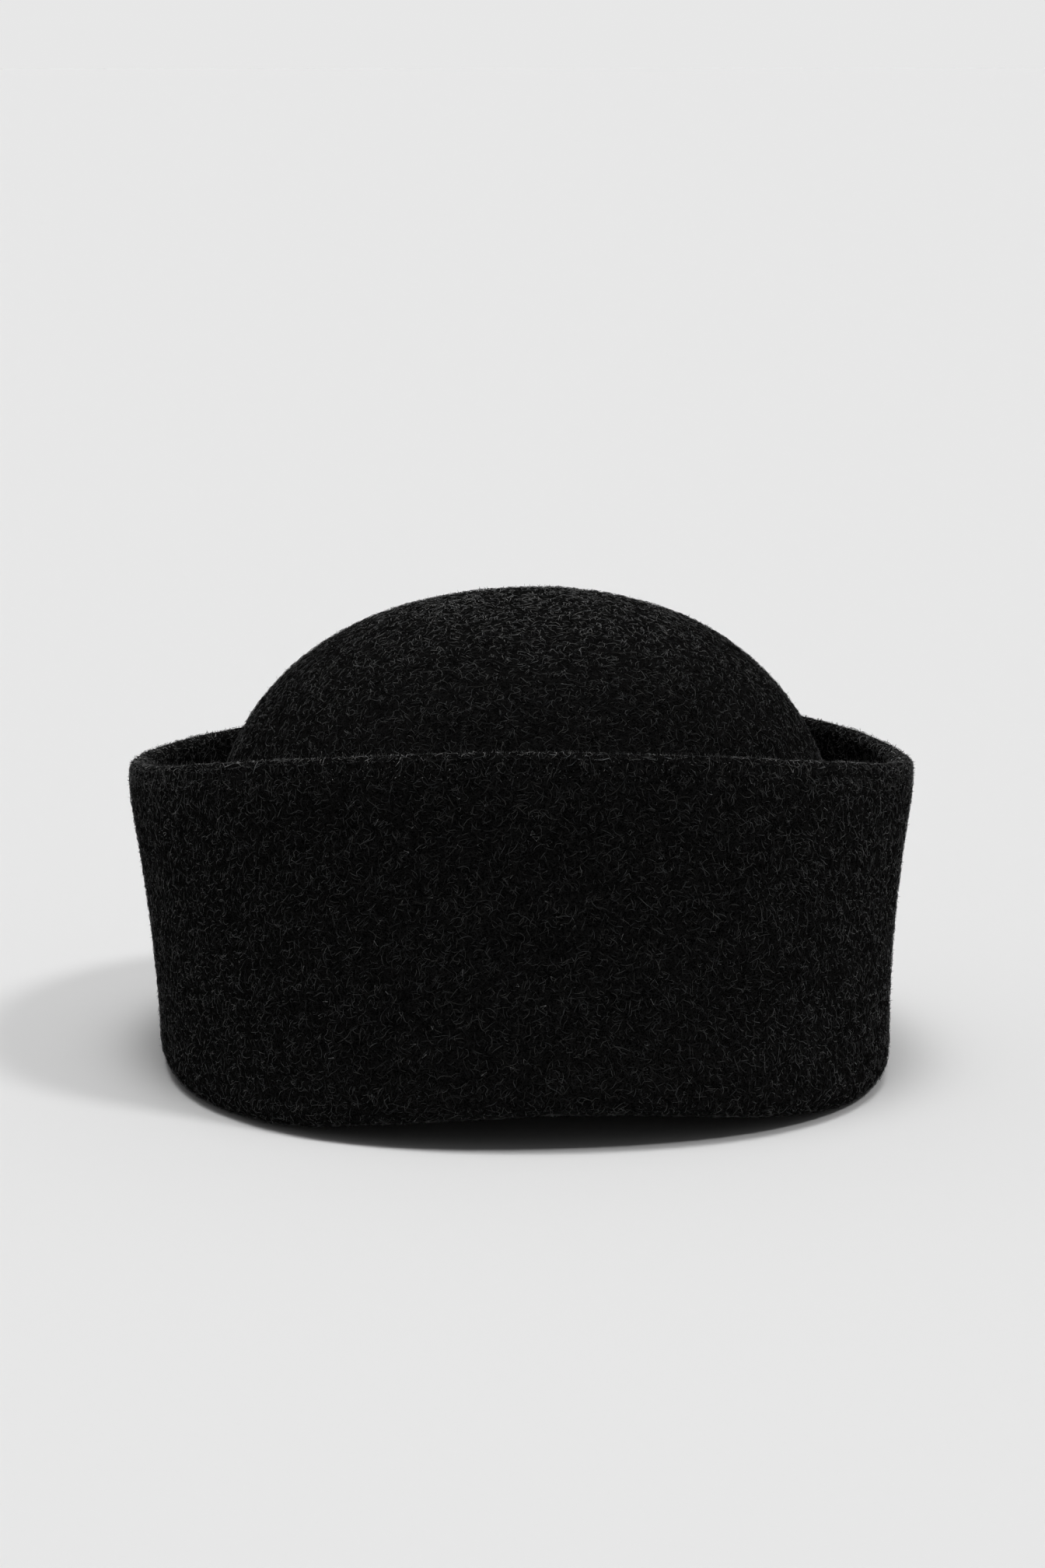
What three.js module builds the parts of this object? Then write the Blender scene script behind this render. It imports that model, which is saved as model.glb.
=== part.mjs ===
// Pillbox hat of thick black wool felt, blocked in one piece.
// The crown's wall runs down to a soft fold and turns up again outside it as a deep cuff.
// Millimetres, +Z up, the front of the hat towards -Y, standing on Z = 0.
// Every angle is measured round the hat from the front, positive towards +X.

import * as THREE from 'three';

// Felt: one sheet of even thickness. The sizes below are those of its middle.
const feltThickness = 3;

// Crown: an oval dome. Power 2 is an ellipse, and a higher power is squarer: round the oval, up the
// wall and over the tip. It stands a little higher on one side, by this rise for each mm towards +X.
const crownHalfWidth = 82;
const crownHalfLength = 99;
const crownHeight = 121.2;
const ovalPower = 2.18;
const crownWallPower = 4.2;
const crownTipPower = 2.05;
const crownLean = 0.025;

// Fold at the bottom, pressed flat where it rests and lifted off the table round the front. The lift
// narrows with its power, ends at this cosine from the front, and fades up the crown's wall.
const foldRadius = 5.35;
const footPressed = 0.55;
const frontLift = 9.4;
const frontLiftPower = 4.9;
const frontLiftEnd = 0.1;
const frontLiftFade = 3;

// Cuff: how far its edge leans out, and how late it starts to: in the middle, and what +X adds
const cuffFlare = { middle: 8, side: -1 };
const cuffFlarePower = { middle: 2, side: 0.5 };

// Height of the cuff's edge: highest in front, with the small twist of hand blocking
const edgeHeight = [
  { waves: 0, cosine: 84.1, sine: 0 },
  { waves: 1, cosine: 9.6, sine: 0.3 },
  { waves: 2, cosine: 3.8, sine: -1.7 },
  { waves: 3, cosine: 1.0, sine: 0 },
];

// Mesh density, and how far apart two points are that give a slope
const anglesRound = 64;
const crownRows = 12;
const crownRowSpread = 1.5;
const foldSteps = 8;
const cuffSteps = 6;
const edgeSteps = 4;
const slopeStep = 1e-4;

const halfFelt = feltThickness / 2;
const foldMiddleHeight = foldRadius + halfFelt - footPressed;
const crownRise = crownHeight - foldMiddleHeight;

// A point at this angle on an oval with these half sizes
function ovalPoint(angle, halfWidth, halfLength, height) {
  const across = Math.sin(angle);
  const along = Math.cos(angle);
  const sum = Math.abs(across / halfWidth) ** ovalPower + Math.abs(along / halfLength) ** ovalPower;
  const radius = sum ** (-1 / ovalPower);
  return new THREE.Vector3(radius * across, -radius * along, height);
}

// How far the fold stands off the table: only round the front
function liftAt(angle) {
  const towardsFront = (Math.cos(angle) - frontLiftEnd) / (1 - frontLiftEnd);
  return frontLift * Math.max(towardsFront, 0) ** frontLiftPower;
}

function edgeHeightAt(angle) {
  return edgeHeight.reduce(
    (sum, wave) =>
      sum + wave.cosine * Math.cos(wave.waves * angle) + wave.sine * Math.sin(wave.waves * angle),
    0,
  );
}

// Middle of the felt in the crown: turn runs from 0 at the fold to a right angle at the tip
function crownMiddle(angle, turn) {
  const rise = Math.sin(turn) ** (2 / crownWallPower);
  const width = Math.cos(turn) ** (2 / crownTipPower);
  const point = ovalPoint(angle, crownHalfWidth * width, crownHalfLength * width, 0);
  const restingHeight = foldMiddleHeight + crownRise * rise;
  point.z = restingHeight + crownLean * point.x * rise;
  point.z += liftAt(angle) * (1 - rise) ** frontLiftFade;
  return point;
}

// Middle of the felt in the fold: turn runs from 0 at the crown to half a circle at the cuff
function foldMiddle(angle, turn) {
  const outward = foldRadius * (1 - Math.cos(turn));
  const height = foldMiddleHeight + liftAt(angle) - foldRadius * Math.sin(turn);
  return ovalPoint(angle, crownHalfWidth + outward, crownHalfLength + outward, height);
}

// Middle of the felt in the cuff: share runs from 0 at the fold to 1 at the edge
function cuffMiddle(angle, share) {
  const point = foldMiddle(angle, Math.PI);
  const side = Math.sin(angle);
  const power = cuffFlarePower.middle + cuffFlarePower.side * side;
  const flare = (cuffFlare.middle + cuffFlare.side * side) * Math.max(share, 0) ** power;
  const radius = Math.hypot(point.x, point.y);
  point.x *= (radius + flare) / radius;
  point.y *= (radius + flare) / radius;
  point.z += (edgeHeightAt(angle) - halfFelt - point.z) * share;
  return point;
}

// The two directions across a row of the felt: along the sheet towards the edge, and out of its
// visible face. The visible face is the crown's outside, which becomes the cuff's inside.
function sheetDirections(middle, angle, place, towardsEdge) {
  const alongSheet = middle(angle, place + slopeStep * towardsEdge)
    .sub(middle(angle, place - slopeStep * towardsEdge))
    .normalize();
  const alongRow = middle(angle + slopeStep, place)
    .sub(middle(angle - slopeStep, place))
    .normalize();
  const outOfFace = new THREE.Vector3().crossVectors(alongSheet, alongRow).normalize();
  return { alongSheet, outOfFace };
}

// The rows of the felt's middle, from just below the crown's tip to the cuff's edge
function feltRows() {
  const rows = [];
  for (let i = crownRows - 1; i > 0; i--) {
    const turn = (Math.PI / 2) * (i / crownRows) ** crownRowSpread;
    rows.push({ middle: crownMiddle, place: turn, towardsEdge: -1 });
  }
  for (let i = 0; i <= foldSteps; i++) {
    rows.push({ middle: foldMiddle, place: (Math.PI * i) / foldSteps, towardsEdge: 1 });
  }
  for (let i = 1; i <= cuffSteps; i++) {
    rows.push({ middle: cuffMiddle, place: i / cuffSteps, towardsEdge: 1 });
  }
  return rows;
}

// One ring of points: the felt's middle moved by half its thickness, turned from the visible face
// (0) over the sheet's direction (a right angle) to the other face (half a circle)
function ringAround({ middle, place, towardsEdge }, turn) {
  const ring = [];
  for (let i = 0; i < anglesRound; i++) {
    const angle = (2 * Math.PI * i) / anglesRound;
    const { alongSheet, outOfFace } = sheetDirections(middle, angle, place, towardsEdge);
    const point = middle(angle, place)
      .addScaledVector(outOfFace, halfFelt * Math.cos(turn))
      .addScaledVector(alongSheet, halfFelt * Math.sin(turn));
    point.z = Math.max(point.z, 0);
    ring.push(point);
  }
  return ring;
}

// A closed skin over rings of points, from one tip to the other
function skinOver(firstTip, rings, lastTip) {
  const points = [firstTip, ...rings.flat(), lastTip];
  const triangles = [];
  const pointOf = (ring, i) => 1 + ring * anglesRound + (i % anglesRound);
  for (let i = 0; i < anglesRound; i++) {
    triangles.push(0, pointOf(0, i), pointOf(0, i + 1));
    for (let ring = 0; ring < rings.length - 1; ring++) {
      triangles.push(pointOf(ring, i), pointOf(ring + 1, i), pointOf(ring + 1, i + 1));
      triangles.push(pointOf(ring, i), pointOf(ring + 1, i + 1), pointOf(ring, i + 1));
    }
    triangles.push(points.length - 1, pointOf(rings.length - 1, i + 1), pointOf(rings.length - 1, i));
  }
  const geometry = new THREE.BufferGeometry().setFromPoints(points);
  geometry.setIndex(triangles);
  return geometry;
}

function feltBodyGeometry() {
  const rows = feltRows();
  const edge = rows[rows.length - 1];
  const visibleFace = rows.map((row) => ringAround(row, 0));
  const roundEdge = [];
  for (let i = 1; i < edgeSteps; i++) {
    roundEdge.push(ringAround(edge, (Math.PI * i) / edgeSteps));
  }
  const otherFace = rows.map((row) => ringAround(row, Math.PI)).reverse();
  const outsideTip = new THREE.Vector3(0, 0, crownHeight + halfFelt);
  const insideTip = new THREE.Vector3(0, 0, crownHeight - halfFelt);
  const geometry = skinOver(outsideTip, [...visibleFace, ...roundEdge, ...otherFace], insideTip);

  // The origin is under the middle of the hat's box, on the table
  geometry.computeBoundingBox();
  const centre = geometry.boundingBox.getCenter(new THREE.Vector3());
  geometry.translate(-centre.x, -centre.y, 0);
  geometry.computeVertexNormals();
  return geometry;
}

const blackFelt = new THREE.MeshStandardMaterial({ color: 0x0d0d0d, roughness: 1, metalness: 0 });

const feltBody = new THREE.Mesh(feltBodyGeometry(), blackFelt);
feltBody.name = 'felt_body';

const pillboxHat = new THREE.Group();
pillboxHat.add(feltBody);

export default pillboxHat;
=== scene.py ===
from math import cos, pi, radians, sin

import bpy
import numpy as np
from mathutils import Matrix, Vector, noise


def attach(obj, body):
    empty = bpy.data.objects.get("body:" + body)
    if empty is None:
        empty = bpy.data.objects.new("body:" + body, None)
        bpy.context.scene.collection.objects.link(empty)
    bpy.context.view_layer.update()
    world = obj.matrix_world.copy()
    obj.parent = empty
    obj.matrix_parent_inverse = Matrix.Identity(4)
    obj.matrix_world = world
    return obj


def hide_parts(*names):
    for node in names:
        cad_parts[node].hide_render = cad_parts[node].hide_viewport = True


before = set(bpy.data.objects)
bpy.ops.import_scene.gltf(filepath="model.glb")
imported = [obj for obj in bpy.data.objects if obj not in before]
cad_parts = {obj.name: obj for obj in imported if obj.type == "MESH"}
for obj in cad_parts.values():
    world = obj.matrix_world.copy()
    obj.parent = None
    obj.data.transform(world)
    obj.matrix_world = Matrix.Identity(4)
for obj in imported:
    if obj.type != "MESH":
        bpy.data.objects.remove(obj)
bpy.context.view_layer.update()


# The table and the room
# A matt white table top runs out past the picture. One soft light hangs overhead, a weak lamp stands
# in front of the hat to its right, and the camera looks a little down on the hat.
table_half_size = 40.0
table_white = 0.8
soft_light_strength = 18.57
soft_light_gather = 60
towards_soft_light = Vector((-0.05, -0.25, 0.96)).normalized()
room_light = 0.2
lamp_strength = 0.9
lamp_width = radians(9)
towards_lamp = Vector((0.406, -0.479, 0.778)).normalized()

camera_distance = 1.2
camera_height = 0.2643
camera_dip = radians(9.07)
camera_turn = radians(5.96)
camera_aim = 0.001
camera_lens = 107.3
picture_long_side = 36

table_corners = [(-1, -1), (1, -1), (1, 1), (-1, 1)]
table_mesh = bpy.data.meshes.new("table_top")
table_mesh.from_pydata(
    [(x * table_half_size, y * table_half_size, 0) for x, y in table_corners], [], [(0, 1, 2, 3)]
)
table_top = bpy.data.objects.new("table_top", table_mesh)
bpy.context.collection.objects.link(table_top)

white_board = bpy.data.materials.new("white_board")
white_board.use_nodes = True
white_surface = white_board.node_tree.nodes["Principled BSDF"]
white_surface.inputs["Base Color"].default_value = (table_white, table_white, table_white, 1)
white_surface.inputs["Roughness"].default_value = 1
white_surface.inputs["Specular IOR Level"].default_value = 0
table_mesh.materials.append(white_board)

lamp_data = bpy.data.lights.new("front_lamp", "SUN")
lamp_data.energy = lamp_strength
lamp_data.angle = lamp_width
front_lamp = bpy.data.objects.new("front_lamp", lamp_data)
front_lamp.rotation_euler = towards_lamp.to_track_quat("Z", "Y").to_euler()
bpy.context.collection.objects.link(front_lamp)

# Far off, the room has just the white that the open table top shows. A light that is gathered round
# one direction by a power lights the table with 2 / (power + 2) of its strength.
lamp_on_table = lamp_strength * towards_lamp.z / pi
soft_light_on_table = soft_light_strength * towards_soft_light.z * 2 / (soft_light_gather + 2)
open_table_white = table_white * (lamp_on_table + room_light + soft_light_on_table)

room = bpy.data.worlds.new("room")
room.use_nodes = True
bpy.context.scene.world = room
nodes, links = room.node_tree.nodes, room.node_tree.links
nodes.clear()
towards = nodes.new("ShaderNodeTexCoord")
near_light = nodes.new("ShaderNodeVectorMath")
near_light.operation = "DOT_PRODUCT"
links.new(towards.outputs["Generated"], near_light.inputs[0])
near_light.inputs[1].default_value = towards_soft_light
above = nodes.new("ShaderNodeMath")
above.operation = "MAXIMUM"
links.new(near_light.outputs["Value"], above.inputs[0])
above.inputs[1].default_value = 0
gathered = nodes.new("ShaderNodeMath")
gathered.operation = "POWER"
links.new(above.outputs[0], gathered.inputs[0])
gathered.inputs[1].default_value = soft_light_gather
brightness = nodes.new("ShaderNodeMath")
brightness.operation = "MULTIPLY_ADD"
links.new(gathered.outputs[0], brightness.inputs[0])
brightness.inputs[1].default_value = soft_light_strength
brightness.inputs[2].default_value = room_light
soft_light = nodes.new("ShaderNodeBackground")
soft_light.inputs["Color"].default_value = (1, 1, 1, 1)
links.new(brightness.outputs[0], soft_light.inputs["Strength"])
far_white = nodes.new("ShaderNodeBackground")
far_white.inputs["Color"].default_value = (open_table_white, open_table_white, open_table_white, 1)
seen_or_lighting = nodes.new("ShaderNodeMixShader")
rays = nodes.new("ShaderNodeLightPath")
links.new(rays.outputs["Is Camera Ray"], seen_or_lighting.inputs[0])
links.new(soft_light.outputs[0], seen_or_lighting.inputs[1])
links.new(far_white.outputs[0], seen_or_lighting.inputs[2])
room_output = nodes.new("ShaderNodeOutputWorld")
links.new(seen_or_lighting.outputs[0], room_output.inputs["Surface"])

scene = bpy.context.scene
scene.view_settings.view_transform = "Standard"
camera_data = bpy.data.cameras.new("camera")
camera_data.sensor_fit = "AUTO"
camera_data.sensor_width = picture_long_side
camera_data.lens = camera_lens
camera = bpy.data.objects.new("camera", camera_data)
camera.location = (
    camera_aim - camera_distance * sin(camera_turn),
    -camera_distance * cos(camera_turn),
    camera_height,
)
camera.rotation_euler = (pi / 2 - camera_dip, 0, -camera_turn)
bpy.context.collection.objects.link(camera)
scene.camera = camera


# The felt
# One hood of thick black wool felt, blocked over an oval dome. Its wall runs down to a soft fold
# and turns up again outside it as the cuff, and the raw edge of the cuff is rounded by wear.
felt_thickness = 0.003

crown_half_width = 0.082
crown_half_length = 0.099
crown_height = 0.1212
oval_power = 2.18
crown_wall_power = 4.2
crown_tip_power = 2.05
crown_lean = 0.025

fold_radius = 0.00535
foot_pressed = 0.00055
front_lift = 0.0094
front_lift_power = 4.9
front_lift_end = 0.1
front_lift_fade = 3

cuff_flare = {"middle": 0.008, "side": -0.001}
cuff_flare_power = {"middle": 2, "side": 0.5}
edge_height = [
    {"waves": 0, "cosine": 0.0841, "sine": 0},
    {"waves": 1, "cosine": 0.0096, "sine": 0.0003},
    {"waves": 2, "cosine": 0.0038, "sine": -0.0017},
    {"waves": 3, "cosine": 0.001, "sine": 0},
]

# The edge is worn soft: it turns upright at its end and swells towards the crown
edge_tuck = 0.0019
edge_tuck_power = 12
edge_swell = 0.0019
edge_swell_power = 9

# The dome draws in a little towards its top
dome_draw = 0.022

angles_round = 190
crown_rows = 62
fold_rows = 9
cuff_rows = 26
edge_rows = 8
slope_step = 1e-4
tries_per_row = 40

# Unevenness that the hands leave: wide soft swells, and the small grain of the pressed wool
felt_swells = [{"size": 0.030, "height": 0.00035}, {"size": 0.009, "height": 0.00012}]

half_felt = felt_thickness / 2
fold_middle_height = fold_radius + half_felt - foot_pressed
crown_rise = crown_height - fold_middle_height
angles = 2 * pi * np.arange(angles_round) / angles_round


def on_oval(angle, half_width, half_length):
    across = np.sin(angle)
    along = np.cos(angle)
    total = np.abs(across / half_width) ** oval_power + np.abs(along / half_length) ** oval_power
    radius = total ** (-1 / oval_power)
    return np.stack([radius * across, -radius * along, np.zeros_like(angle)], axis=-1)


def lift_at(angle):
    towards_front = (np.cos(angle) - front_lift_end) / (1 - front_lift_end)
    return front_lift * np.maximum(towards_front, 0) ** front_lift_power


def edge_height_at(angle):
    waves = [
        wave["cosine"] * np.cos(wave["waves"] * angle) + wave["sine"] * np.sin(wave["waves"] * angle)
        for wave in edge_height
    ]
    return sum(waves)


# Middle of the felt in the crown: turn runs from 0 at the fold to a right angle at the tip
def crown_middle(angle, turn):
    rise = sin(turn) ** (2 / crown_wall_power)
    width = cos(turn) ** (2 / crown_tip_power) * (1 - dome_draw * rise)
    point = on_oval(angle, crown_half_width * width, crown_half_length * width)
    point[:, 2] = fold_middle_height + crown_rise * rise + crown_lean * point[:, 0] * rise
    point[:, 2] += lift_at(angle) * (1 - rise) ** front_lift_fade
    return point


# Middle of the felt in the fold: turn runs from 0 at the crown to half a circle at the cuff
def fold_middle(angle, turn):
    outward = fold_radius * (1 - cos(turn))
    point = on_oval(angle, crown_half_width + outward, crown_half_length + outward)
    point[:, 2] = fold_middle_height + lift_at(angle) - fold_radius * sin(turn)
    return point


# Middle of the felt in the cuff: share runs from 0 at the fold to 1 at the edge
def cuff_middle(angle, share):
    point = fold_middle(angle, pi)
    side = np.sin(angle)
    power = cuff_flare_power["middle"] + cuff_flare_power["side"] * side
    share = max(share, 0)
    flare = (cuff_flare["middle"] + cuff_flare["side"] * side) * share**power
    flare -= edge_tuck * share**edge_tuck_power
    radius = np.hypot(point[:, 0], point[:, 1])
    point[:, :2] *= ((radius + flare) / radius)[:, None]
    point[:, 2] += (edge_height_at(angle) - half_felt - point[:, 2]) * share
    return point


# Places along one stretch of the felt that lie an equal way apart, both ends among them
def even_places(middle, first, last, steps):
    tried = np.linspace(first, last, tries_per_row * steps + 1)
    slanting = np.array([pi / 4])
    path = np.array([middle(slanting, place)[0] for place in tried])
    walked = np.concatenate([[0], np.cumsum(np.linalg.norm(np.diff(path, axis=0), axis=1))])
    return np.interp(np.linspace(0, walked[-1], steps + 1), walked, tried)


def unit(vectors):
    return vectors / np.linalg.norm(vectors, axis=-1, keepdims=True)


# How much thicker the felt is towards the crown near the cuff's edge
def swell_of_edge(row):
    middle, place, _ = row
    return edge_swell * place**edge_swell_power if middle is cuff_middle else 0


# One ring of points: the middle moved by half the thickness, turned from the face that is the
# crown's outside and the cuff's inside (0) over the edge (a right angle) to the other (half a circle)
def ring_around(row, turn):
    middle, place, towards_edge = row
    swell = swell_of_edge(row) / 2
    step = slope_step * towards_edge
    along_sheet = unit(middle(angles, place + step) - middle(angles, place - step))
    along_row = unit(middle(angles + slope_step, place) - middle(angles - slope_step, place))
    out_of_face = unit(np.cross(along_sheet, along_row))
    shift = (half_felt + swell) * cos(turn) * out_of_face + half_felt * sin(turn) * along_sheet
    return middle(angles, place) + swell * out_of_face + shift


crown_places = even_places(crown_middle, pi / 2 - slope_step, 2 * slope_step, crown_rows)[1:-1]
fold_places = even_places(fold_middle, 0, pi, fold_rows)
cuff_places = even_places(cuff_middle, 0, 1, cuff_rows)[1:]
felt_rows = [(crown_middle, place, -1) for place in crown_places]
felt_rows += [(fold_middle, place, 1) for place in fold_places]
felt_rows += [(cuff_middle, place, 1) for place in cuff_places]
edge_turns = pi * np.arange(1, edge_rows) / edge_rows

rings = [ring_around(row, 0) for row in felt_rows]
rings += [ring_around(felt_rows[-1], turn) for turn in edge_turns]
rings += [ring_around(row, pi) for row in reversed(felt_rows)]
skin = np.array(rings)

# The origin is under the middle of the hat's box
skin_centre = (skin.min(axis=(0, 1)) + skin.max(axis=(0, 1))) / 2
skin[:, :, :2] -= skin_centre[:2]

last_crown_row = len(crown_places)
edge_row = len(felt_rows)
outer_start_row = edge_row + len(edge_turns)
rows_in_all = len(rings)


def facing(points):
    along_row = np.roll(points, -1, axis=1) - np.roll(points, 1, axis=1)
    along_sheet = np.gradient(points, axis=0)
    return unit(np.cross(along_sheet, along_row))


def swell_at(point):
    return sum(
        swell["height"] * noise.noise(Vector(point) / swell["size"]) for swell in felt_swells
    )


swells = np.array([[swell_at(point) for point in ring] for ring in skin])
skin += facing(skin) * swells[:, :, None]
skin[:, :, 2] = np.maximum(skin[:, :, 2], 0)
skin_facing = facing(skin)

# A fan of triangles closes the skin at the crown's tip outside, and another at its tip inside
tip_rise = 0.00001
tips = [skin[0].mean(axis=0), skin[-1].mean(axis=0)]
tips[0][2] = skin[0, :, 2].max() + tip_rise
tips[1][2] = skin[-1, :, 2].max() + tip_rise
skin_points = np.concatenate([skin.reshape(-1, 3), tips])
number = np.arange(rows_in_all * angles_round).reshape(rows_in_all, angles_round)
after = np.roll(number, -1, axis=1)
quads = np.stack([number[:-1], number[1:], after[1:], after[:-1]], axis=-1).reshape(-1, 4)
top_tip = len(skin_points) - 2
inner_tip = len(skin_points) - 1
fans = [(top_tip, number[0, i], after[0, i]) for i in range(angles_round)]
fans += [(inner_tip, after[-1, i], number[-1, i]) for i in range(angles_round)]

felt_mesh = bpy.data.meshes.new("felt_hood")
felt_mesh.from_pydata(skin_points.tolist(), [], quads.tolist() + [tuple(map(int, f)) for f in fans])
felt_mesh.shade_smooth()
felt_hood = bpy.data.objects.new("felt_hood", felt_mesh)
bpy.context.collection.objects.link(felt_hood)
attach(felt_hood, "root")
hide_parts("felt_body")


# Fine curly lines of wool: where a soft noise passes its middle value, sharpened to a thin line.
# Three layers of them lie over each other, each moved off the last and a little finer or coarser.
line_layers = [
    {"moved": 0.0, "fineness": 1.0},
    {"moved": 3.7, "fineness": 0.8},
    {"moved": 8.1, "fineness": 1.3},
]
noise_middle = 0.5


def wool_lines_group():
    group = bpy.data.node_groups.new("wool_lines", "ShaderNodeTree")
    plug = group.interface
    plug.new_socket("Place", in_out="INPUT", socket_type="NodeSocketVector")
    plug.new_socket("Lines per Metre", in_out="INPUT", socket_type="NodeSocketFloat")
    plug.new_socket("Sharpness", in_out="INPUT", socket_type="NodeSocketFloat")
    plug.new_socket("Lines", in_out="OUTPUT", socket_type="NodeSocketFloat")
    given = group.nodes.new("NodeGroupInput")
    put_out = group.nodes.new("NodeGroupOutput")
    layers = []
    for layer in line_layers:
        shift = layer["moved"]
        moved = group.nodes.new("ShaderNodeVectorMath")
        moved.operation = "ADD"
        moved.inputs[1].default_value = (shift, 2 * shift, -shift)
        group.links.new(given.outputs["Place"], moved.inputs[0])
        scale = group.nodes.new("ShaderNodeMath")
        scale.operation = "MULTIPLY"
        scale.inputs[1].default_value = layer["fineness"]
        group.links.new(given.outputs["Lines per Metre"], scale.inputs[0])
        wool = group.nodes.new("ShaderNodeTexNoise")
        wool.inputs["Detail"].default_value = 1.5
        wool.inputs["Roughness"].default_value = 0.55
        wool.inputs["Distortion"].default_value = 0.6
        group.links.new(moved.outputs[0], wool.inputs["Vector"])
        group.links.new(scale.outputs[0], wool.inputs["Scale"])
        from_middle = group.nodes.new("ShaderNodeMath")
        from_middle.operation = "SUBTRACT"
        from_middle.inputs[1].default_value = noise_middle
        group.links.new(wool.outputs["Fac"], from_middle.inputs[0])
        apart = group.nodes.new("ShaderNodeMath")
        apart.operation = "ABSOLUTE"
        group.links.new(from_middle.outputs[0], apart.inputs[0])
        fall = group.nodes.new("ShaderNodeMath")
        fall.operation = "MULTIPLY"
        group.links.new(apart.outputs[0], fall.inputs[0])
        group.links.new(given.outputs["Sharpness"], fall.inputs[1])
        line = group.nodes.new("ShaderNodeMath")
        line.operation = "SUBTRACT"
        line.use_clamp = True
        line.inputs[0].default_value = 1
        group.links.new(fall.outputs[0], line.inputs[1])
        layers.append(line)
    highest = layers[0]
    for next_line in layers[1:]:
        either = group.nodes.new("ShaderNodeMath")
        either.operation = "MAXIMUM"
        group.links.new(highest.outputs[0], either.inputs[0])
        group.links.new(next_line.outputs[0], either.inputs[1])
        highest = either
    group.links.new(highest.outputs[0], put_out.inputs["Lines"])
    return group


wool_lines = wool_lines_group()

felt_black = (0.0006, 0.0006, 0.00062, 1)
wool_grey = (0.0106, 0.0106, 0.0103, 1)
wool_spacing = 0.0008
wool_sharpness = 14
felt_relief = 0.0002
clump_size = 0.006
clump_shade = 0.3
clump_range = (0.3, 0.7)

black_felt = bpy.data.materials.new("black_felt")
black_felt.use_nodes = True
nodes, links = black_felt.node_tree.nodes, black_felt.node_tree.links
felt_surface = nodes["Principled BSDF"]
felt_surface.inputs["Roughness"].default_value = 1
felt_surface.inputs["Specular IOR Level"].default_value = 0
felt_surface.inputs["Sheen Weight"].default_value = 0.006
felt_surface.inputs["Sheen Roughness"].default_value = 0.2
place = nodes.new("ShaderNodeTexCoord")
lines = nodes.new("ShaderNodeGroup")
lines.node_tree = wool_lines
lines.inputs["Lines per Metre"].default_value = 1 / wool_spacing
lines.inputs["Sharpness"].default_value = wool_sharpness
links.new(place.outputs["Object"], lines.inputs["Place"])
clumps = nodes.new("ShaderNodeTexNoise")
clumps.inputs["Scale"].default_value = 1 / clump_size
clumps.inputs["Detail"].default_value = 3
links.new(place.outputs["Object"], clumps.inputs["Vector"])
shade = nodes.new("ShaderNodeMapRange")
shade.inputs["From Min"].default_value = clump_range[0]
shade.inputs["From Max"].default_value = clump_range[1]
shade.inputs["To Min"].default_value = 1 - clump_shade
shade.inputs["To Max"].default_value = 1
links.new(clumps.outputs["Fac"], shade.inputs["Value"])
shown = nodes.new("ShaderNodeMath")
shown.operation = "MULTIPLY"
links.new(lines.outputs["Lines"], shown.inputs[0])
links.new(shade.outputs["Result"], shown.inputs[1])
colour = nodes.new("ShaderNodeMix")
colour.data_type = "RGBA"
colour.inputs["A"].default_value = felt_black
colour.inputs["B"].default_value = wool_grey
links.new(shown.outputs[0], colour.inputs["Factor"])
links.new(colour.outputs["Result"], felt_surface.inputs["Base Color"])
relief = nodes.new("ShaderNodeBump")
relief.inputs["Distance"].default_value = felt_relief
links.new(lines.outputs["Lines"], relief.inputs["Height"])
links.new(relief.outputs["Normal"], felt_surface.inputs["Normal"])
felt_mesh.materials.append(black_felt)


# The nap
# Curly wool fibres that lie loose on the face of the felt, tangled every way. Each is a thin ribbon
# with one end in the felt and the other a little off it, and their greys differ. Painted light makes
# them paler where the felt faces straight up and in the gap behind the cuff, and a painted highlight
# makes them paler along its lip.
fibre_length = 0.0025
fibre_length_shape = 6
shortest_fibre = 0.0009
longest_fibre = 0.0055
fibre_curl_radius = 0.0012
fibre_width = (0.00013, 0.0002)
fibre_steps = 3
fibre_shape = [0.4, 1, 1, 0.4]

# A fibre starts a little under the face of the felt, rises in an arch that stops short of its far
# foot, and is rolled a little to either side. Nothing comes closer to the table than the clearance.
fibre_sink = 0.00006
fibre_rise = 0.0006
lowest_rise = 0.2
fibre_stand = 0.8
fibre_roll = 0.4
most_roll = 0.6
table_clearance = 0.00005

# The shades run from dark to pale and lean towards dark, and the paler a fibre is the more it shines
darkest_fibre = (0.0008, 0.0008, 0.0008, 1)
palest_warm_fibre = (0.0226, 0.0221, 0.0204, 1)
palest_cool_fibre = (0.0193, 0.0206, 0.0215, 1)
shade_lean = 1.4
# Painted light: fibres are made paler where the felt faces straight up, for the light from above
top_painted_light = 2.1
top_painted_light_power = 14
# Painted light: the fibres in the gap behind the cuff are made paler
valley_painted_light = 1.6
# A painted highlight: the fibres along the cuff's lip are made paler
lip_painted_highlight = 1.5
fibre_sheen = 0.28

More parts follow.
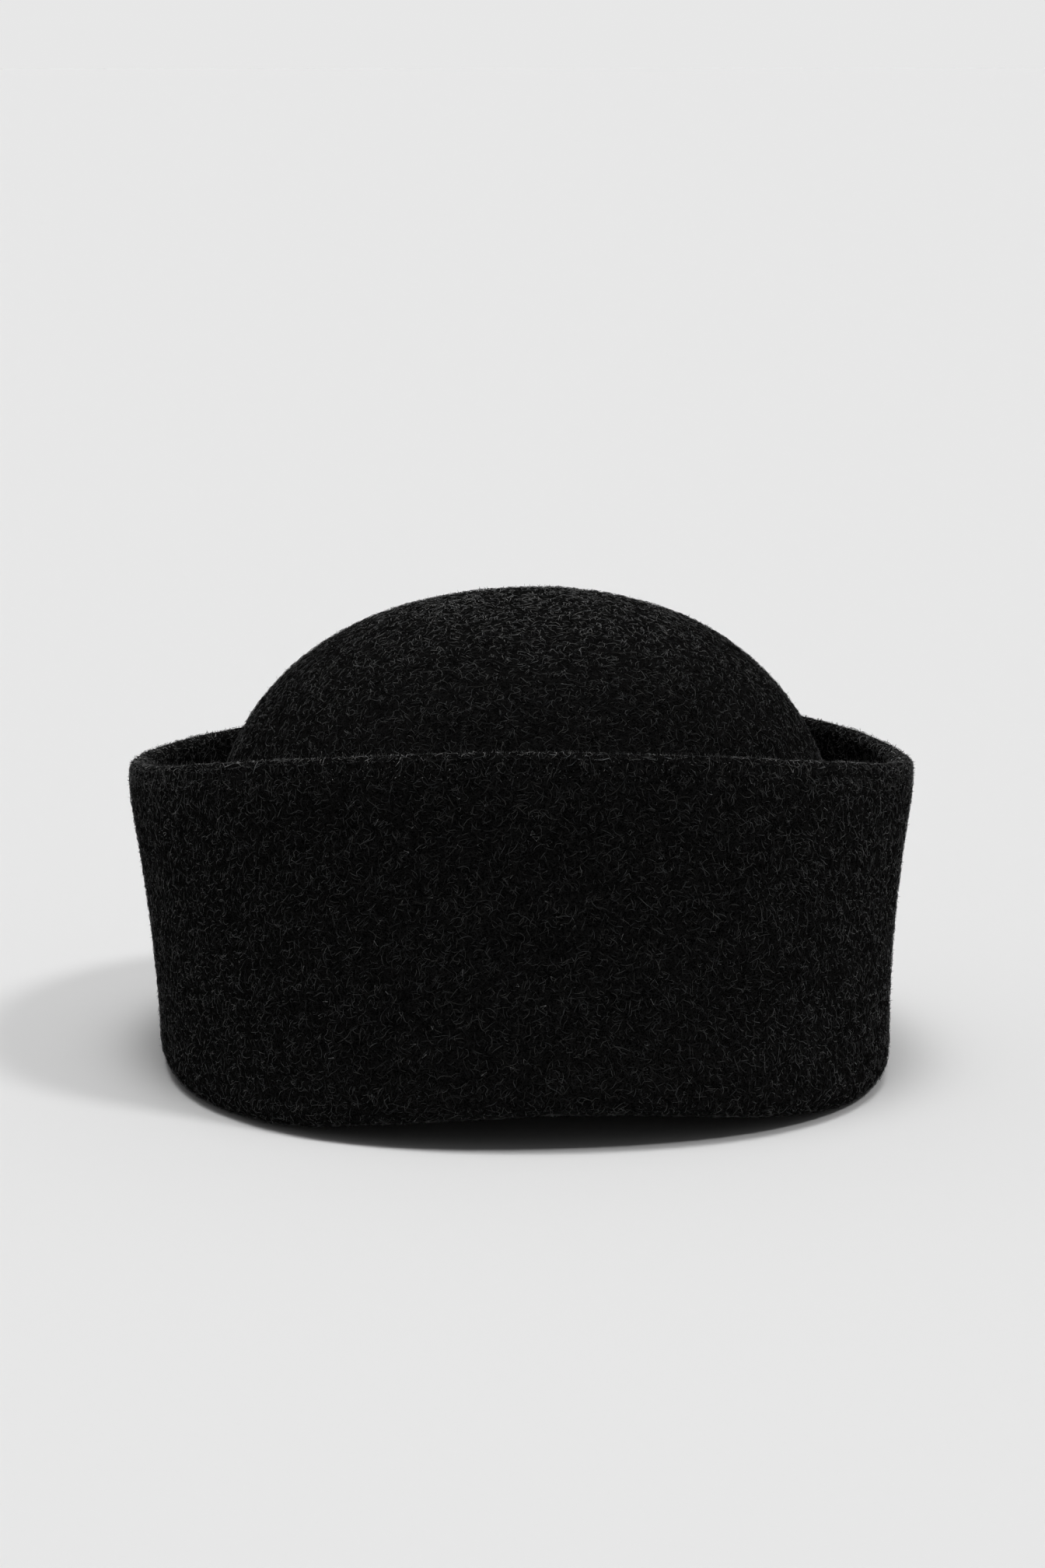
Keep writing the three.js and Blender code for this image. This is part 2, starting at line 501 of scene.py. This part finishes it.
wool_fibre = bpy.data.materials.new("wool_fibre")
wool_fibre.use_nodes = True
nodes, links = wool_fibre.node_tree.nodes, wool_fibre.node_tree.links
fibre_surface = nodes["Principled BSDF"]
fibre_surface.inputs["Roughness"].default_value = 0.8
fibre_surface.inputs["Specular IOR Level"].default_value = 0
fibre_surface.inputs["Sheen Roughness"].default_value = 0.55
own_shade = nodes.new("ShaderNodeAttribute")
own_shade.attribute_name = "fibre_shade"
each_fibre = nodes.new("ShaderNodeNewGeometry")
palest = nodes.new("ShaderNodeMix")
palest.data_type = "RGBA"
palest.inputs["A"].default_value = palest_warm_fibre
palest.inputs["B"].default_value = palest_cool_fibre
links.new(each_fibre.outputs["Random Per Island"], palest.inputs["Factor"])
fibre_colour = nodes.new("ShaderNodeMix")
fibre_colour.data_type = "RGBA"
fibre_colour.clamp_factor = False
fibre_colour.inputs["A"].default_value = darkest_fibre
links.new(own_shade.outputs["Fac"], fibre_colour.inputs["Factor"])
links.new(palest.outputs["Result"], fibre_colour.inputs["B"])
links.new(fibre_colour.outputs["Result"], fibre_surface.inputs["Base Color"])
gloss = nodes.new("ShaderNodeMath")
gloss.operation = "MULTIPLY"
gloss.use_clamp = True
gloss.inputs[1].default_value = fibre_sheen
links.new(own_shade.outputs["Fac"], gloss.inputs[0])
links.new(gloss.outputs["Value"], fibre_surface.inputs["Sheen Weight"])

rng = np.random.default_rng(27)

# Places on the skin are given in rows and columns of its grid, and each point of the grid has the
# felt for half a step round it. The last place lies just short of the last row.
half_step = 0.5
last_place = rows_in_all - 1.001


def blend_on_grid(grid, row, column):
    low_row = np.clip(np.floor(row).astype(int), 0, rows_in_all - 2)
    low_column = np.floor(column).astype(int)
    row_share = (row - low_row)[:, None]
    column_share = (column - low_column)[:, None]
    left = low_column % angles_round
    right = (low_column + 1) % angles_round
    near = grid[low_row, left] * (1 - column_share) + grid[low_row, right] * column_share
    far = grid[low_row + 1, left] * (1 - column_share) + grid[low_row + 1, right] * column_share
    return near * (1 - row_share) + far * row_share


# How far one step of the grid goes, down the sheet and round the hat, and the area it spans
row_step = np.gradient(skin, axis=0)
column_step = (np.roll(skin, -1, axis=1) - np.roll(skin, 1, axis=1)) / 2
cell_area = np.linalg.norm(np.cross(row_step, column_step), axis=-1)


# Rows and columns strewn evenly by area between two rows and two angles, in degrees from the front.
# The two steps are those of the plastic number, which fill a square with no clumps and no gaps, and
# each place is then moved at random by up to this share of a step.
even_step = (0.7548776662, 0.5698402910)
strewn_apart = 0.2


def strewn(count, first_row, last_row, first_angle=0, last_angle=180):
    from_front = np.degrees(np.abs((angles + pi) % (2 * pi) - pi))
    inside = (from_front >= first_angle) & (from_front <= last_angle)
    area = np.where(inside[None, :], cell_area, 0)[first_row:last_row]
    shares = (rng.uniform(0, 1, 2) + np.arange(count)[:, None] * even_step) % 1
    by_row = np.concatenate([[0], np.cumsum(area.sum(axis=1))])
    by_column = np.concatenate([[0], np.cumsum(area.sum(axis=0))])
    rows = np.interp(shares[:, 0] * by_row[-1], by_row, np.arange(len(by_row)))
    columns = np.interp(shares[:, 1] * by_column[-1], by_column, np.arange(len(by_column)))
    rows += first_row - half_step + rng.uniform(-strewn_apart, strewn_apart, count)
    columns += rng.uniform(-strewn_apart, strewn_apart, count) - half_step
    return np.clip(rows, 0, last_place), columns


# A walk over the skin: the points it passes, and how the skin faces there
def walk(row, column, heading, step, bends):
    points = []
    facings = []
    headings = []
    face = unit(blend_on_grid(skin_facing, row, column))
    down = unit(blend_on_grid(row_step, row, column))
    across = unit(np.cross(face, down))
    ahead = down * np.cos(heading)[:, None] + across * np.sin(heading)[:, None]
    for bend in bends:
        points.append(blend_on_grid(skin, row, column))
        facings.append(face)
        headings.append(ahead)
        along_rows = blend_on_grid(row_step, row, column)
        along_columns = blend_on_grid(column_step, row, column)
        moved = ahead * step[:, None]
        row = row + (moved * along_rows).sum(axis=1) / (along_rows**2).sum(axis=1)
        column = column + (moved * along_columns).sum(axis=1) / (along_columns**2).sum(axis=1)
        row = np.clip(row, 0, last_place)
        face = unit(blend_on_grid(skin_facing, row, column))
        turned = ahead * np.cos(bend)[:, None] + np.cross(face, ahead) * np.sin(bend)[:, None]
        ahead = unit(turned - face * (turned * face).sum(axis=1)[:, None])
    return np.array(points), np.array(facings), np.array(headings)


# Ribbons from points (step, fibre), their sideways directions and their half widths. Laid out flat,
# each ribbon has a cell of its own with a margin round it.
cell_margin = 0.1


def ribbon_mesh(name, points, sideways, half_width, shade):
    steps, count = points.shape[:2]
    edges = [points - sideways * half_width[:, :, None], points + sideways * half_width[:, :, None]]
    corners = np.stack(edges, axis=2).transpose(1, 0, 2, 3).reshape(-1, 3)
    corners[:, 2] = np.maximum(corners[:, 2], table_clearance)
    first = (np.arange(count) * steps * 2)[:, None] + (np.arange(steps - 1) * 2)[None, :]
    faces = np.stack([first, first + 1, first + 3, first + 2], axis=-1).reshape(-1, 4)
    mesh = bpy.data.meshes.new(name)
    mesh.from_pydata(corners.tolist(), [], faces.tolist())
    mesh.shade_smooth()

    grey = mesh.attributes.new("fibre_shade", "FLOAT", "POINT")
    grey.data.foreach_set("value", np.repeat(shade, steps * 2).astype(np.float32))

    cells = int(np.ceil(count**0.5))
    cell = np.stack([np.arange(count) % cells, np.arange(count) // cells], axis=-1)
    along = np.repeat(np.linspace(cell_margin, 1 - cell_margin, steps), 2)
    over = np.tile([cell_margin, 1 - cell_margin], steps)
    corner_place = (cell[:, None, :] + np.stack([along, over], axis=-1)[None, :, :]) / cells
    flat = mesh.uv_layers.new(name="OFBake")
    flat.data.foreach_set("uv", corner_place.reshape(-1, 2)[faces.ravel()].astype(np.float32).ravel())

    mesh.materials.append(wool_fibre)
    piece = bpy.data.objects.new(name, mesh)
    bpy.context.collection.objects.link(piece)
    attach(piece, "root")


# The curl of a fibre changes evenly from one end to the other
def lying_fibres(name, first_row, last_row, count, first_angle=0, last_angle=180, painted_paleness=1):
    row, column = strewn(count, first_row, last_row, first_angle, last_angle)
    length = rng.gamma(fibre_length_shape, fibre_length / fibre_length_shape, count)
    length = np.clip(length, shortest_fibre, longest_fibre)
    step = length / fibre_steps
    curl = rng.normal(0, 1, count) / fibre_curl_radius
    twist = rng.normal(0, 1, count) / fibre_curl_radius
    bends = [(curl + twist * (i - 1) / 2) * step for i in range(fibre_steps + 1)]
    heading = rng.uniform(0, 2 * pi, count)
    points, facings, headings = walk(row, column, heading, step, bends)
    arch = np.sin(np.linspace(0, fibre_stand * pi, fibre_steps + 1))[:, None]
    highest = rng.uniform(lowest_rise, 1, count) * fibre_rise * np.minimum(length / fibre_length, 1)
    rise = highest[None, :] * arch - fibre_sink
    points = points + facings * rise[:, :, None]
    roll = np.clip(rng.normal(0, fibre_roll, count), -most_roll, most_roll)[None, :, None]
    sideways = np.cross(facings, headings) * np.cos(roll) + facings * np.sin(roll)
    width = rng.uniform(*fibre_width, count)[None, :] * np.array(fibre_shape)[:, None]
    # Painted light in the valley and a painted highlight on the lip scale the fibres' shade, and more
    # painted light makes them paler where the felt faces straight up
    shade = painted_paleness * rng.uniform(0, 1, count) ** shade_lean
    shade *= 1 + top_painted_light * np.maximum(facings[0, :, 2], 0) ** top_painted_light_power
    ribbon_mesh(name, points, sideways, width / 2, shade)


dome_share_of_crown = 0.68
lip_share_of_cuff = 0.35
dome_end_row = int(dome_share_of_crown * last_crown_row)
lip_start_row = edge_row - int(lip_share_of_cuff * cuff_rows)
inner_start_row = rows_in_all - last_crown_row
lying_fibres("nap_dome", 0, dome_end_row, count=33000)
# The valley's fibres are made paler with painted light, and the lip's with a painted highlight
lying_fibres("nap_valley", dome_end_row, lip_start_row, count=12000, painted_paleness=valley_painted_light)
lying_fibres("nap_lip", lip_start_row, outer_start_row, count=17000, painted_paleness=lip_painted_highlight)
lying_fibres("nap_cuff_front", outer_start_row, inner_start_row, count=32000, last_angle=90)
lying_fibres("nap_cuff_back", outer_start_row, inner_start_row, count=32000, first_angle=90)
lying_fibres("nap_inside", inner_start_row, rows_in_all, count=6000)


# The fuzz
# Short ends of wool that stand off the face of the felt, most of all along the cuff's raw edge.
# The hairs on the edge are made paler with a painted highlight.
hair_length = (0.0005, 0.0013)
hair_width = (0.0001, 0.00016)
hair_steps = 2
hair_shape = np.array([1, 0.8, 0.3])
hair_lean = 0.5
hair_bend = 0.35
face_hair_shade = (0.02, 0.2)
# A painted highlight: the hairs along the raw edge are made many times paler than those on the faces
edge_hair_painted_highlight = (0.8, 2.2)

# A hair that stands off its face by less than the least is pushed up by so many times what it lacks
least_standing = 0.15
push_up = 2


def standing_hairs(name, first_row, last_row, count, shades):
    row, column = strewn(count, first_row, last_row)
    face = unit(blend_on_grid(skin_facing, row, column))
    root = blend_on_grid(skin, row, column)
    ahead = unit(face + rng.normal(0, hair_lean, (count, 3)))
    too_low = np.maximum(least_standing - (ahead * face).sum(axis=1), 0)
    ahead = unit(ahead + face * too_low[:, None] * push_up)
    bend = rng.normal(0, hair_bend, (count, 3))
    step = rng.uniform(*hair_length, count)[:, None] / hair_steps
    points = [root - face * fibre_sink]
    headings = [ahead]
    for i in range(hair_steps):
        points.append(points[-1] + ahead * step)
        ahead = unit(ahead + bend)
        headings.append(ahead)
    points = np.array(points)
    sideways = unit(np.cross(np.array(headings), rng.normal(0, 1, (1, count, 3))))
    width = rng.uniform(*hair_width, count)[None, :] * hair_shape[:, None]
    shade = rng.uniform(*shades, count)
    ribbon_mesh(name, points, sideways, width / 2, shade)


rows_past_edge = 2
fuzz_start_row = edge_row - rows_past_edge
fuzz_end_row = outer_start_row + rows_past_edge
standing_hairs("fuzz_faces", 0, inner_start_row, count=19000, shades=face_hair_shade)
standing_hairs("fuzz_edge", fuzz_start_row, fuzz_end_row, count=5000, shades=edge_hair_painted_highlight)
